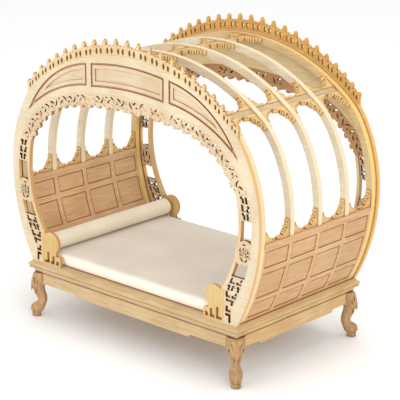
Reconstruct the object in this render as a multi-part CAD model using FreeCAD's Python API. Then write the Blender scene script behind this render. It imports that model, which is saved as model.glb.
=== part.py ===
import FreeCAD, Part
import math
import os

# A dolls' house canopy bed, about one twelfth of full size, in bare wood.
# X runs from the head (-X) to the foot (+X), Y from the front (-Y) to the back (+Y), Z is up.
# The origin is on the floor, under the middle of the bed. All sizes are millimetres.

V = FreeCAD.Vector

# ---- Driving dimensions: base ----
platform_length = 176.0
platform_depth = 113.4
platform_top = 38.8
platform_thickness = 5.4
moulding_reach = 2.0
moulding_top = 36.8
shoulder_height = 1.2
bead_height = 1.9
quirk_height = 0.35
quirk_depth = 0.4
fillet_set_in = 0.5
shadow_groove_height = 0.6
shadow_groove_depth = 0.7
cove_height = 3.0
cove_set_in = 0.9
moulding_seat = 6.0
apron_thickness = 3.0
apron_height = 7.0
apron_drop = 1.7
front_drop_half = 48.0
end_drop_half = 33.0
drop_ogee = 3.0
leg_block = 8.4
leg_block_height = 7.9
leg_egg = 0.22
pad_radius = 2.9
pad_height = 2.7
pad_reach = 4.6

# ---- Driving dimensions: arch shared by the fascias, the ribs and the end boards ----
belly_x = 104.2
belly_z = 99.6
lower_radius = 122.2
side_radius = 87.0
shoulder_radius = 50.0
crown_radius = 130.5
crown_z = 184.5

# ---- Driving dimensions: front and back frames ----
fascia_thickness = 2.2
fret_thickness = 2.0
strip_thickness = 2.9
spacer_thickness = 1.2
spacer_depth = 3.4
rib_inset = 1.0
rib_depth = 4.6
rib_width = 3.4
rib_count = 3
band_width = 5.7
band_lower_radius = 98.0
band_upper_radius = 90.0
band_foot_x = 84.0
opening_x_max = 88.5
opening_z = 101.0
opening_radius = 74.0
strip_width = 2.1
frieze_end_z = 119.0
frieze_corner_x = 50.0
frieze_top_mid = 160.6
frieze_top_corner = 154.9
frieze_top_shoulder = (76.0, 143.0)
frieze_bottom_mid = 153.0
frieze_bottom_corner = 148.2
frieze_bottom_shoulder = (70.0, 138.8)
scallop_pitch = 7.6
scallop_drops = (0.9, 2.3)
inner_motifs = 3
outer_motifs = 8
motif_gap = (23.0, 39.0)
# each hole of a motif: shift along, rise, lean, length, and the heights of its two sides
frieze_motif = ((-1.6, 0.3, 0.9, 5.0, 1.5, 0.2), (1.5, -0.5, -0.6, 4.0, -1.2, 0.1),
                (3.0, 1.5, 0.2, 2.2, 0.5, -0.4))
motif_margin = 5.2

# ---- Driving dimensions: raised panels in the fascia ----
pocket_depth = 1.5
panel_thickness = 1.3
panel_groove = 1.3
panel_margin = 2.2
field_depth = 0.7
centre_panel_half = 30.4
centre_panel_top = (176.9, 179.6)
centre_panel_bottom = (162.2, 164.3)
side_panel_x = 34.2
side_panel_z = (162.4, 176.5)
side_panel_tip = (88.0, 138.2)
side_panel_upper = (63.0, 165.8)
side_panel_lower = (63.0, 154.6)

# ---- Driving dimensions: crest ----
crest_thickness = 1.8
crest_height = 5.8
crest_radius = 126.8
finial_pairs = 11
finial_spread = 105.0
finial_step = 0.089
finial_height = 4.5
finial_tip_radius = 122.5
finial_neck = 0.6
finial_belly = 1.25
crest_scallop = 0.8
# shares of the crest's height and of the gap between two finials
crest_hole_height = 0.72
crest_hole_rise = 0.52
crest_hole_width = 0.22
crest_hole_shift = 0.2

# ---- Driving dimensions: frets, rosettes and corner scrolls ----
upper_fret_z = 104.0
upper_fret_rows = 3
rosette_z = (78.3, 91.0)
lower_fret_top = 68.9
lower_fret_rows = 5
scroll_top = 59.6
scroll_centre = (70.3, 53.2)
scroll_radius = 7.3
scroll_neck_x = 65.7
scroll_foot_x = 61.6
scroll_foot_height = 6.5
foot_round = 1.5
scroll_bar = 2.1
# each hole in a corner scroll's foot: its two sides and its height
scroll_holes = ((63.2, 65.7, 2.9), (66.9, 70.5, 5.6), (71.7, 76.4, 7.4))
fret_bar = 1.75
fret_web = 0.8
fret_cell = 2.6

# ---- Driving dimensions: purlins, brackets and end boards ----
purlin_width = 4.2
purlin_thickness = 3.2
purlin_inset = 2.4
side_purlin_angle = 34.8
bracket_along_rib = 12.0
bracket_up_rib = 10.5
bracket_across = 9.6
bracket_tip = 0.5
bracket_lobes = 3
bracket_lobe_rise = 0.5
bracket_thickness = 3.0
bracket_inset = 2.0
board_rails = ((38.8, 41.5), (51.8, 55.0), (71.2, 74.8), (85.4, 87.6))
board_cap_top = 90.2
board_cap_proud = 0.5
board_end_stile = 2.0
board_panel_groove = 0.6
board_panel_inset = 1.2
board_field_inset = 0.25

# ---- Driving dimensions: mattress and bolster ----
mattress_half_length = 80.6
mattress_half_depth = 53.4
mattress_thickness = 8.2
mattress_corner = 3.0
mattress_top_edge = 1.8
mattress_bottom_edge = 0.5
soft_gap = 0.1
bolster_radius = 5.8
bolster_half_length = 53.2
bolster_x = -72.5
bolster_gap = 0.15
bolster_edge = 1.2

# ---- Sizes that follow from the driving dimensions ----
board_x = platform_length / 2
front_y = -platform_depth / 2
platform_base = platform_top - platform_thickness
leg_height = platform_base - cove_height
leg_x = board_x - cove_set_in
leg_y = -front_y - cove_set_in
corner_x = board_x + moulding_reach
corner_y = -front_y + moulding_reach
frame_y = front_y + fascia_thickness + spacer_thickness + rib_width
bay = (-2 * frame_y - rib_count * rib_width) / (rib_count + 1)

lower_centre = (belly_x - lower_radius, belly_z)
side_centre = (belly_x - side_radius, belly_z)
crown_centre = (0.0, crown_z - crown_radius)
opening_centre = (opening_x_max - opening_radius, opening_z)
band_x_max = belly_x - band_width
band_lower_centre = (band_x_max - band_lower_radius, belly_z)
band_upper_centre = (band_x_max - band_upper_radius, belly_z)


# ---- Drawing helpers: points are (x, z) on the plane y = 0 ----
def point(p):
    return V(p[0], 0, p[1])


def line(p, q):
    return Part.makeLine(point(p), point(q))


def arc(p, via, q):
    return Part.Arc(point(p), point(via), point(q)).toShape()


def chain(points):
    return [line(p, q) for p, q in zip(points, points[1:])]


def closed(edges):
    return Part.Wire(Part.__sortEdges__(edges))


def flipped(edges):
    return [edge.mirror(V(0, 0, 0), V(1, 0, 0)) for edge in edges]


def plate(outline, holes, y, thickness):
    face = Part.makeFace([outline] + holes, "Part::FaceMakerBullseye")
    face.translate(V(0, y, 0))
    return face.extrude(V(0, thickness, 0)).Solids[0]


def mirror_x(shape):
    return shape.mirror(V(0, 0, 0), V(1, 0, 0))


def mirror_y(shape):
    return shape.mirror(V(0, 0, 0), V(0, 1, 0))


def group(shapes):
    return Part.makeCompound([solid for shape in shapes for solid in shape.Solids])


def on_circle(centre, radius, angle):
    return (centre[0] + radius * math.cos(angle), centre[1] + radius * math.sin(angle))


def circle_point(centre, radius, z):
    return on_circle(centre, radius, math.asin((z - centre[1]) / radius))


def circle_arc(centre, radius, z0, z1):
    """Right-hand part of a circle between two heights."""
    a0 = math.asin((z0 - centre[1]) / radius)
    a1 = math.asin((z1 - centre[1]) / radius)
    mid = on_circle(centre, radius, (a0 + a1) / 2)
    return arc(on_circle(centre, radius, a0), mid, on_circle(centre, radius, a1))


def angle_arc(centre, radius, a0, a1):
    mid = on_circle(centre, radius, (a0 + a1) / 2)
    return arc(on_circle(centre, radius, a0), mid, on_circle(centre, radius, a1))


def circles_meet(c0, r0, c1, r1):
    """Right-hand crossing of two circles."""
    dx = c1[0] - c0[0]
    dz = c1[1] - c0[1]
    gap = math.hypot(dx, dz)
    along = (r0 * r0 - r1 * r1 + gap * gap) / (2 * gap)
    across = math.sqrt(r0 * r0 - along * along)
    foot = (c0[0] + along * dx / gap, c0[1] + along * dz / gap)
    options = [(foot[0] + s * across * dz / gap, foot[1] - s * across * dx / gap) for s in (1, -1)]
    return max(options)


def leaf_hole(centre, angle, length, bulge, hollow):
    """A pointed hole of two arcs; bulge and hollow are the heights of its two sides."""
    along = (math.cos(angle) * length / 2, math.sin(angle) * length / 2)
    across = (-math.sin(angle), math.cos(angle))
    start = (centre[0] - along[0], centre[1] - along[1])
    end = (centre[0] + along[0], centre[1] + along[1])
    out = (centre[0] + across[0] * bulge, centre[1] + across[1] * bulge)
    back = (centre[0] + across[0] * hollow, centre[1] + across[1] * hollow)
    return closed([arc(start, out, end), arc(start, back, end)])


def hook_hole(place, a0, a1, z0, z1, bar_a, bar_z, flip_a, flip_z):
    """An L-shaped fret hole; place turns (across, height) into a point."""
    upright = (a1 - bar_a, a1) if flip_a else (a0, a0 + bar_a)
    foot = (z1 - bar_z, z1) if flip_z else (z0, z0 + bar_z)
    far_a = a0 if flip_a else a1
    near_a = a1 if flip_a else a0
    inner_a = upright[0] if flip_a else upright[1]
    heel = z1 if flip_z else z0
    step = foot[0] if flip_z else foot[1]
    tip = z0 if flip_z else z1
    corners = [(near_a, heel), (far_a, heel), (far_a, step), (inner_a, step), (inner_a, tip), (near_a, tip)]
    points = [place(a, z) for a, z in corners]
    return closed(chain(points + points[:1]))


# ---- Base ----
def platform_board():
    size = (platform_length, platform_depth, platform_thickness)
    return Part.makeBox(*size, V(-board_x, front_y, platform_base))


def moulding(half_across, half_along):
    """One mitred edge moulding, on the +X side: a bead, a quirk, a fillet, a cove and a shadow groove."""
    reach = half_across + moulding_reach
    nose = 0.4
    cove_x = half_across - cove_set_in
    seat_x = half_across - moulding_seat
    lip = half_across + moulding_reach / 3
    quirk_top = moulding_top - bead_height
    quirk_base = quirk_top - quirk_height
    cove_foot = leg_height + shadow_groove_height
    outline = chain([(half_across, platform_base), (half_across, moulding_top + shoulder_height),
                     (reach - nose, moulding_top)])
    outline.append(arc((reach - nose, moulding_top), (reach, moulding_top - bead_height / 2),
                       (reach - nose, quirk_top)))
    quirk_x = reach - nose - quirk_depth
    outline += chain([(reach - nose, quirk_top), (quirk_x, quirk_top),
                      (quirk_x, quirk_base), (reach - fillet_set_in, quirk_base),
                      (reach - fillet_set_in, platform_base), (lip, platform_base)])
    outline.append(arc((lip, platform_base), (cove_x + 0.3, cove_foot + 1.1), (cove_x, cove_foot)))
    groove_x = cove_x - shadow_groove_depth
    outline += chain([(cove_x, cove_foot), (groove_x, cove_foot), (groove_x, leg_height),
                      (seat_x, leg_height), (seat_x, platform_base), (half_across, platform_base)])
    run = half_along + moulding_reach
    strip = plate(closed(outline), [], -run, 2 * run)
    mitre = [(seat_x, half_along - moulding_seat), (reach, run), (reach, -run),
             (seat_x, moulding_seat - half_along), (seat_x, half_along - moulding_seat)]
    wedge = Part.Face(Part.makePolygon([V(x, y, 0) for x, y in mitre])).extrude(V(0, 0, platform_top))
    return strip.common(wedge).Solids[0]


def turned(shape, degrees):
    copy = shape.copy()
    copy.rotate(V(0, 0, 0), V(0, 0, 1), degrees)
    return copy


def apron(half_run, drop_half, face):
    """An apron board on the -Y side: its lower edge steps down through an ogee to a deeper middle."""
    shallow = leg_height - apron_height
    deep = shallow - apron_drop
    middle = ((shallow + deep) / 2, drop_half + drop_ogee / 2)
    half = [line((half_run, leg_height), (half_run, shallow)),
            line((half_run, shallow), (drop_half + drop_ogee, shallow)),
            arc((drop_half + drop_ogee, shallow), (middle[1] + 0.45, middle[0] + 0.6), (middle[1], middle[0])),
            arc((middle[1], middle[0]), (middle[1] - 0.45, middle[0] - 0.6), (drop_half, deep))]
    edges = half + flipped(half) + [line((-drop_half, deep), (drop_half, deep)),
                                    line((-half_run, leg_height), (half_run, leg_height))]
    return plate(closed(edges), [], -face, apron_thickness)


def leg_section(z, outer, inner, half_width):
    """An egg across the leg, its point outwards; outer and inner are measured from the moulding's corner."""
    middle = (outer + inner) / 2
    half_depth = (inner - outer) / 2
    points = []
    for i in range(12):
        a = 2 * math.pi * i / 12
        narrowing = 1 + leg_egg * math.cos(a)
        points.append(V(middle + half_depth * math.cos(a), half_width * math.sin(a) * narrowing, z))
    curve = Part.BSplineCurve()
    curve.interpolate(points, PeriodicFlag=True)
    return Part.Wire(curve.toShape())


def leg():
    """Front left cabriole leg: knee, slim ankle, toe and round pad, on the corner's diagonal."""
    # share of the leg's height, outer and inner distance along the diagonal, half width
    stations = ((1.000, 4.5, 11.6, 5.2), (0.890, 2.4, 11.4, 5.2), (0.740, 1.4, 10.6, 4.3),
                (0.640, 1.9, 10.2, 3.5), (0.505, 3.7, 11.0, 2.8), (0.415, 5.0, 11.6, 2.6),
                (0.345, 5.4, 11.6, 3.0), (0.290, 3.7, 11.2, 3.8), (0.235, 1.3, 10.6, 4.0),
                (0.175, 0.9, 9.9, 3.9), (0.120, 1.4, 9.0, 3.5), (0.070, 2.2, 7.6, 2.6))
    sections = [leg_section(share * leg_height, *sizes) for share, *sizes in stations]
    limb = Part.makeLoft(sections, True, False)
    limb = limb.fuse(Part.makeCylinder(pad_radius, pad_height, V(pad_reach, 0, 0)))
    limb.rotate(V(0, 0, 0), V(0, 0, 1), 45)
    limb.translate(V(-corner_x, -corner_y, 0))
    base = leg_height - leg_block_height
    block = Part.makeBox(leg_block, leg_block, leg_block_height, V(-leg_x, -leg_y, base))
    return limb.fuse(block).removeSplitter().Solids[0]


# ---- Arches ----
shoulder_centre = circles_meet(side_centre, side_radius - shoulder_radius,
                               crown_centre, crown_radius - shoulder_radius)
shoulder_start = math.atan2(shoulder_centre[1] - side_centre[1], shoulder_centre[0] - side_centre[0])
shoulder_end = math.atan2(shoulder_centre[1] - crown_centre[1], shoulder_centre[0] - crown_centre[0])
fascia_corner = circles_meet(side_centre, side_radius, crown_centre, crown_radius)


def arch_side(inset, base_z):
    """Right half of the arch, up to the crown: four arcs that meet without a corner."""
    return [circle_arc(lower_centre, lower_radius - inset, base_z, belly_z),
            angle_arc(side_centre, side_radius - inset, 0, shoulder_start),
            angle_arc(shoulder_centre, shoulder_radius - inset, shoulder_start, shoulder_end),
            angle_arc(crown_centre, crown_radius - inset, shoulder_end, math.pi / 2)]


def arch(inset, depth, base_z, y, thickness):
    outer = arch_side(inset, base_z)
    inner = arch_side(inset + depth, base_z)
    foot = line(circle_point(lower_centre, lower_radius - inset, base_z),
                circle_point(lower_centre, lower_radius - inset - depth, base_z))
    half = outer + inner + [foot]
    return plate(closed(half + flipped(half)), [], y, thickness)


# ---- Front frame: every piece is drawn on the front, and the back frame is its mirror image ----
def frieze_top_half():
    start = circle_point(band_upper_centre, band_upper_radius, frieze_end_z)
    corner = (frieze_corner_x, frieze_top_corner)
    return [arc(start, frieze_top_shoulder, corner)]


def frieze_top_middle():
    return arc((-frieze_corner_x, frieze_top_corner), (0, frieze_top_mid),
               (frieze_corner_x, frieze_top_corner))


def fascia():
    """The flat horseshoe board, with three sunk pockets for the raised panels."""
    base = circle_point(lower_centre, lower_radius, platform_top)
    crown_arc = arc(fascia_corner, (0, crown_z), (-fascia_corner[0], fascia_corner[1]))
    corner_angle = math.atan2(fascia_corner[1] - side_centre[1], fascia_corner[0] - side_centre[0])
    rise = math.sqrt(band_lower_radius ** 2 - (band_foot_x - band_lower_centre[0]) ** 2)
    band_foot_z = belly_z - rise
    half = [circle_arc(lower_centre, lower_radius, platform_top, belly_z),
            angle_arc(side_centre, side_radius, 0, corner_angle),
            line(base, (band_foot_x, platform_top)),
            line((band_foot_x, platform_top), (band_foot_x, band_foot_z)),
            circle_arc(band_lower_centre, band_lower_radius, band_foot_z, belly_z),
            circle_arc(band_upper_centre, band_upper_radius, belly_z, frieze_end_z)]
    half += frieze_top_half()
    outline = closed(half + flipped(half) + [crown_arc, frieze_top_middle()])
    board = plate(outline, [], front_y, fascia_thickness)
    pockets = [plate(wire, [], front_y, pocket_depth) for wire in
               (centre_outline(), side_outline(), mirror_x(side_outline()))]
    return board.cut(Part.makeCompound(pockets)).Solids[0]


def centre_outline():
    """The edge of the centre pocket."""
    half, top, bottom = centre_panel_half, centre_panel_top, centre_panel_bottom
    return closed([arc((-half, top[0]), (0, top[1]), (half, top[0])), line((half, top[0]), (half, bottom[0])),
                   arc((half, bottom[0]), (0, bottom[1]), (-half, bottom[0])),
                   line((-half, bottom[0]), (-half, top[0]))])


def side_outline():
    """The edge of the right-hand crescent pocket."""
    low, high = side_panel_z
    return closed([arc((side_panel_x, high), side_panel_upper, side_panel_tip),
                   arc(side_panel_tip, side_panel_lower, (side_panel_x, low)),
                   line((side_panel_x, low), (side_panel_x, high))])


def inset_wire(outline, distance):
    return Part.Face(outline).makeOffset2D(-distance, 2).Wires[0]


def raised_panel(outline):
    """A panel glued in its pocket with a groove all round, and a sunk field inside its flat margin."""
    front = front_y + pocket_depth - panel_thickness
    board = plate(inset_wire(outline, panel_groove), [], front, panel_thickness)
    field = plate(inset_wire(outline, panel_groove + panel_margin), [], front, field_depth)
    return board.cut(field).Solids[0]


def crest():
    """The pierced strip on top: scallops and bud finials above, a pair of upright holes in each gap."""

    def base_z(x):
        return crown_centre[1] + math.sqrt(crown_radius ** 2 - x * x)

    def top_z(x):
        return crown_z + crest_height - crest_radius + math.sqrt(crest_radius ** 2 - x * x)

    def tip_z(x):
        top = crown_z + crest_height + finial_height
        return top - finial_tip_radius + math.sqrt(finial_tip_radius ** 2 - x * x)

    places = [finial_spread * math.sin(finial_step * i) for i in range(-finial_pairs, finial_pairs + 1)]
    corner_l = (-fascia_corner[0], fascia_corner[1])
    left_end = places[0] - finial_neck
    right_end = places[-1] + finial_neck
    edges = [arc(corner_l, (0, crown_z), fascia_corner),
             line(corner_l, (left_end, top_z(left_end))),
             line(fascia_corner, (right_end, top_z(right_end)))]
    for x in places:
        rise = tip_z(x) - top_z(x)
        belly = finial_belly * math.sqrt(rise / finial_height)
        for side in (-1, 1):
            foot = x + side * finial_neck
            edges.append(arc((foot, top_z(foot)), (x + side * belly, top_z(x) + 0.5 * rise), (x, tip_z(x))))
    holes = []
    for x0, x1 in zip(places, places[1:]):
        middle = (x0 + x1) / 2
        stops = [x0 + finial_neck, middle, x1 - finial_neck]
        for a, b in zip(stops, stops[1:]):
            via = ((a + b) / 2, (top_z(a) + top_z(b)) / 2 + crest_scallop)
            edges.append(arc((a, top_z(a)), via, (b, top_z(b))))
        gap = x1 - x0
        half_wide = crest_hole_width * gap / 2
        for side in (-1, 1):
            x = middle + side * crest_hole_shift * gap
            tall = top_z(x) - base_z(x)
            centre = (x, base_z(x) + crest_hole_rise * tall)
            holes.append(leaf_hole(centre, math.pi / 2, crest_hole_height * tall, half_wide, -half_wide))
    return plate(closed(edges), holes, front_y, crest_thickness)


def along(edges, distance):
    """The point and the direction at a distance along a chain of edges."""
    for edge in edges:
        if distance <= edge.Length or edge is edges[-1]:
            u = edge.getParameterByLength(min(distance, edge.Length))
            p = edge.valueAt(u)
            t = edge.tangentAt(u)
            return (p.x, p.z), math.atan2(t.z, t.x)
        distance -= edge.Length


def frieze():
    """The carved frieze under the panels: a scalloped lower edge and pierced leaf scrolls."""
    end_low = circle_point(opening_centre, opening_radius, frieze_end_z)
    end_high = circle_point(band_upper_centre, band_upper_radius, frieze_end_z)
    bottom_sag = frieze_bottom_mid - frieze_bottom_corner
    lower = [arc((0, frieze_bottom_mid), (frieze_corner_x / 2, frieze_bottom_mid - bottom_sag / 4),
                 (frieze_corner_x, frieze_bottom_corner)),
             arc((frieze_corner_x, frieze_bottom_corner), frieze_bottom_shoulder, end_low)]
    length = sum(edge.Length for edge in lower)
    count = 2 * round(length / scallop_pitch)
    half = frieze_top_half() + [line(end_low, end_high)]
    previous = (0.0, frieze_bottom_mid)
    for i in range(1, count + 1):
        spot, heading = along(lower, length * i / count)
        drop = scallop_drops[i % 2]
        centre = ((previous[0] + spot[0]) / 2, (previous[1] + spot[1]) / 2)
        via = (centre[0] + drop * math.sin(heading), centre[1] - drop * math.cos(heading))
        half.append(arc(previous, via, spot))
        previous = spot
    holes = []
    middle_sag = (frieze_top_corner + frieze_bottom_corner) / 2
    middle = [arc((0, (frieze_top_mid + frieze_bottom_mid) / 2), (frieze_corner_x / 2, middle_sag + 4.1),
                  (frieze_corner_x, middle_sag)),
              arc((frieze_corner_x, middle_sag), (73.2, 141.0),
                  ((end_low[0] + end_high[0]) / 2, frieze_end_z))]
    reach = sum(edge.Length for edge in middle)
    outer_pitch = (reach - motif_gap[1] - motif_margin) / (outer_motifs - 1)
    inner_pitch = (motif_gap[0] - motif_margin) / (inner_motifs - 1)
    places = [motif_margin + inner_pitch * i for i in range(inner_motifs)]
    places += [motif_gap[1] + outer_pitch * i for i in range(outer_motifs)]
    for i, place in enumerate(places):
        spot, heading = along(middle, place)
        turn = 1 if i % 2 else -1
        for shift, rise, lean, size, bulge, hollow in frieze_motif:
            x = spot[0] + shift * math.cos(heading) - turn * rise * math.sin(heading)
            z = spot[1] + shift * math.sin(heading) + turn * rise * math.cos(heading)
            angle = heading + turn * lean
            holes.append(((x, z), angle, size, turn * bulge, turn * hollow))
    wires = []
    for (x, z), angle, size, bulge, hollow in holes:
        wires.append(leaf_hole((x, z), angle, size, bulge, hollow))
        wires.append(leaf_hole((-x, z), math.pi - angle, size, -bulge, -hollow))
    return plate(closed(half + flipped(half) + [frieze_top_middle()]), wires, front_y, fret_thickness)


def band_x(z):
    lower = z < belly_z
    centre = band_lower_centre if lower else band_upper_centre
    return circle_point(centre, band_lower_radius if lower else band_upper_radius, z)[0]


def strip_x(z):
    return circle_point(opening_centre, opening_radius + strip_width, max(z, scroll_top))[0]


def between(across, z):
    """A point on the right-hand side, between the edge strip (0) and the outer band (1)."""
    inner = strip_x(z)
    outer = max(band_x(z), band_foot_x)
    return (inner + across * (outer - inner), z)


def fret_holes(rows, place):
    """Rows of L-shaped holes between two heights, as many in a row as its width takes."""
    holes = []
    for r, (z0, z1) in enumerate(rows):
        width = place(1, z0)[0] - place(0, z0)[0]
        columns = max(1, int((width - fret_web) / (fret_cell + fret_web)))
        web = fret_web / width
        bar = fret_bar / width
        cell = (1 - web * (columns + 1)) / columns
        for c in range(columns):
            a0 = web + c * (cell + web)
            holes.append(hook_hole(place, a0, a0 + cell, z0, z1, bar, fret_bar, (r + c) % 2 == 0, r % 2 == 0))
    return holes


def upper_fret():
    z0, z1 = upper_fret_z, frieze_end_z
    edges = [circle_arc(opening_centre, opening_radius + strip_width, z0, z1),
             circle_arc(band_upper_centre, band_upper_radius, z0, z1),
             line(between(0, z0), between(1, z0)), line(between(0, z1), between(1, z1))]
    pitch = (z1 - z0 - fret_web) / upper_fret_rows
    rows = [(z0 + fret_web + i * pitch, z0 + (i + 1) * pitch) for i in range(upper_fret_rows)]
    return plate(closed(edges), fret_holes(rows, between), front_y, fret_thickness)


def rosette():
    """The carved lotus half way down each side, between the two long slots."""
    z0, z1 = rosette_z
    top = between(0.5, z1 + 1.4)
    edges = [circle_arc(opening_centre, opening_radius + strip_width, z0, z1),
             circle_arc(band_lower_centre, band_lower_radius, z0, z1),
             arc(between(0, z1), top, between(1, z1)),
             arc(between(0, z0), between(0.25, z0 - 0.9), between(0.5, z0)),
             arc(between(0.5, z0), between(0.75, z0 - 0.9), between(1, z0))]
    heart = between(0.5, z0 + 5.4)
    up = math.pi / 2
    holes = [leaf_hole((heart[0], heart[1] + 2.4), up, 4.4, 0.75, -0.75),
             leaf_hole((heart[0], heart[1] + 6.1), 0, 3.0, 0.5, -0.5)]
    for side in (-1, 1):
        holes.append(leaf_hole((heart[0] + side * 2.2, heart[1] + 1.2), up - side * 0.12, 6.4,
                               -side * 1.25, -side * 0.1))
        holes.append(leaf_hole((heart[0] + side * 1.5, heart[1] - 3.0), up - side * 0.9, 3.4,
                               -side * 0.9, side * 0.25))
    return plate(closed(edges), holes, front_y, fret_thickness)


def lower_fret():
    """The dense key fret at the bottom of each side."""
    z0, z1 = platform_top, lower_fret_top
    inner = strip_x(z0)
    rise = math.sqrt(band_lower_radius ** 2 - (band_foot_x - band_lower_centre[0]) ** 2)
    bend = belly_z - rise
    edges = [line((inner, z0), (inner, scroll_top)),
             circle_arc(opening_centre, opening_radius + strip_width, scroll_top, z1),
             line((inner, z0), (band_foot_x, z0)), line((band_foot_x, z0), (band_foot_x, bend)),
             circle_arc(band_lower_centre, band_lower_radius, bend, z1),
             line(between(0, z1), between(1, z1))]
    foot_top = z0 + scroll_foot_height
    pitch = (z1 - fret_web - foot_top) / lower_fret_rows
    rows = [(z0 + fret_web, foot_top)]
    rows += [(foot_top + i * pitch + fret_web, foot_top + (i + 1) * pitch) for i in range(lower_fret_rows)]
    return plate(closed(edges), fret_holes(rows, between), front_y, fret_thickness)


def corner_scroll():
    """The rounded board in each lower corner, standing on a short pierced foot."""
    inner = strip_x(platform_top)
    notch = circle_point(opening_centre, opening_radius, scroll_top)
    start = math.radians(48)
    finish = 2 * math.pi - math.acos((scroll_neck_x - scroll_centre[0]) / scroll_radius)
    neck = on_circle(scroll_centre, scroll_radius, finish)
    foot_z = platform_top + scroll_foot_height
    toe = scroll_foot_x + foot_round
    edges = chain([(toe - foot_round, platform_top), (inner, platform_top), (inner, scroll_top), notch,
                   on_circle(scroll_centre, scroll_radius, start)])
    edges.append(angle_arc(scroll_centre, scroll_radius, start, finish))
    edges += chain([neck, (scroll_neck_x, foot_z), (toe, foot_z)])
    bend = foot_round * (1 - math.sqrt(0.5))
    edges.append(arc((toe, foot_z), (scroll_foot_x + bend, foot_z - bend), (scroll_foot_x, foot_z - foot_round)))
    edges.append(line((scroll_foot_x, foot_z - foot_round), (scroll_foot_x, platform_top)))

    def flat(x, z):
        return (x, z)

    low = platform_top + fret_web
    holes = [hook_hole(flat, x0, x1, low, low + tall, scroll_bar, fret_bar, False, False)
             for x0, x1, tall in scroll_holes]
    return plate(closed(edges), holes, front_y, fret_thickness)


def edge_strip():
    """The thin bent strip that lines each side of the opening."""
    inner = circle_arc(opening_centre, opening_radius, scroll_top, frieze_end_z)
    outer = circle_arc(opening_centre, opening_radius + strip_width, scroll_top, frieze_end_z)
    ends = [line(circle_point(opening_centre, opening_radius, z),
                 circle_point(opening_centre, opening_radius + strip_width, z))
            for z in (scroll_top, frieze_end_z)]
    return plate(closed([inner, outer] + ends), [], front_y, strip_thickness)


# ---- Purlins and brackets ----
def on_arch(shape, degrees, centre_z, radius):
    """Place a piece drawn on the plane z = 0 (Z outwards) on the outside of an arch."""
    copy = shape.copy()
    copy.translate(V(0, 0, radius))
    copy.rotate(V(0, 0, 0), V(0, 1, 0), degrees)
    copy.translate(V(0, 0, centre_z))
    return copy


def bay_starts():
    return [frame_y + i * (bay + rib_width) for i in range(rib_count + 1)]


def bracket(side_x, side_y, x, y, leg):
    """A hollow-cornered bracket whose square corner is at (x, y); its hollow edge is cut in lobes."""

    def spot(a, b):
        return V(x + side_x * a, y + side_y * b, 0)

    def on_hollow(share, rise):
        a = share * math.pi / 2
        reach = (leg - bracket_tip, bracket_across - bracket_tip)
        out = (bracket_tip + reach[0] * (1 - math.sin(a)), bracket_tip + reach[1] * (1 - math.cos(a)))
        return spot(out[0] + rise * math.sin(a), out[1] + rise * math.cos(a))

    ends = [on_hollow(i / bracket_lobes, 0) for i in range(bracket_lobes + 1)]
    edges = [Part.makeLine(spot(0, 0), spot(leg, 0)), Part.makeLine(spot(leg, 0), ends[0]),
             Part.makeLine(ends[-1], spot(0, bracket_across)), Part.makeLine(spot(0, bracket_across), spot(0, 0))]
    for i, (start, end) in enumerate(zip(ends, ends[1:])):
        crest_point = on_hollow((i + 0.5) / bracket_lobes, bracket_lobe_rise)
        edges.append(Part.Arc(start, crest_point, end).toShape())
    face = Part.Face(closed(edges))
    face.translate(V(0, 0, -bracket_inset - bracket_thickness))
    return face.extrude(V(0, 0, bracket_thickness)).Solids[0]


def purlin(degrees):
    """One line of short bars, let in between the ribs."""
    bars = []
    low = -purlin_inset - purlin_thickness
    for start in bay_starts():
        bar = Part.makeBox(purlin_width, bay, purlin_thickness, V(-purlin_width / 2, start, low))
        bars.append(on_arch(bar, degrees, crown_centre[1], crown_radius))
    return group(bars)


def roof_brackets():
    pieces = []
    for degrees in (-side_purlin_angle, 0, side_purlin_angle):
        for start in bay_starts():
            for side_x in (-1, 1):
                for side_y, y in ((1, start), (-1, start + bay)):
                    piece = bracket(side_x, side_y, side_x * purlin_width / 2, y, bracket_along_rib)
                    pieces.append(on_arch(piece, degrees, crown_centre[1], crown_radius))
    return group(pieces)


def board_brackets():
    """Brackets at the feet of the ribs, on the footboard's cap."""
    pieces = []
    for start in bay_starts():
        for side_y, y in ((1, start), (-1, start + bay)):
            piece = bracket(-1, side_y, 0, y, bracket_up_rib)
            pieces.append(on_arch(piece, 90, board_cap_top, belly_x))
    return group(pieces)


# ---- End boards, drawn on the foot side; the head side is the mirror image ----
def slab(outer_inset, inner_inset, z0, z1, y0, y1):
    edges = [circle_arc(lower_centre, lower_radius - inset, z0, z1) for inset in (outer_inset, inner_inset)]
    for z in (z0, z1):
        edges.append(line(circle_point(lower_centre, lower_radius - outer_inset, z),
                          circle_point(lower_centre, lower_radius - inner_inset, z)))
    return plate(closed(edges), [], y0, y1 - y0)


def window_spans():
    """The clear width of each column of panels; the stiles line up with the ribs."""
    spans = []
    for i, start in enumerate(bay_starts()):
        left = start + (board_end_stile if i == 0 else 0)
        right = start + bay - (board_end_stile if i == rib_count else 0)
        spans.append((left, right))
    return spans


def window_rows():
    return [(low[1], high[0]) for low, high in zip(board_rails, board_rails[1:])]


def board_frame():
    """The curved frame of rails and stiles, with three rows of four openings."""
    frame = slab(rib_inset, rib_inset + rib_depth, platform_top, board_rails[-1][1], frame_y, -frame_y)
    windows = []
    for y0, y1 in window_spans():
        for z0, z1 in window_rows():
            windows.append(Part.makeBox(60, y1 - y0, z1 - z0, V(60, y0, z0)))
    return frame.cut(Part.makeCompound(windows)).Solids[0]


def board_panels():
    """Panels with a field on both faces that stands nearly flush with the frame, inside a narrow groove."""
    pieces = []
    far = rib_inset + rib_depth
    groove = board_panel_groove
    for y0, y1 in window_spans():
        for z0, z1 in window_rows():
            core = slab(rib_inset + board_panel_inset, far - board_panel_inset, z0, z1, y0, y1)
            field = slab(rib_inset + board_field_inset, far - board_field_inset,
                         z0 + groove, z1 - groove, y0 + groove, y1 - groove)
            pieces.append(core.fuse(field))
    return group(pieces)


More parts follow.
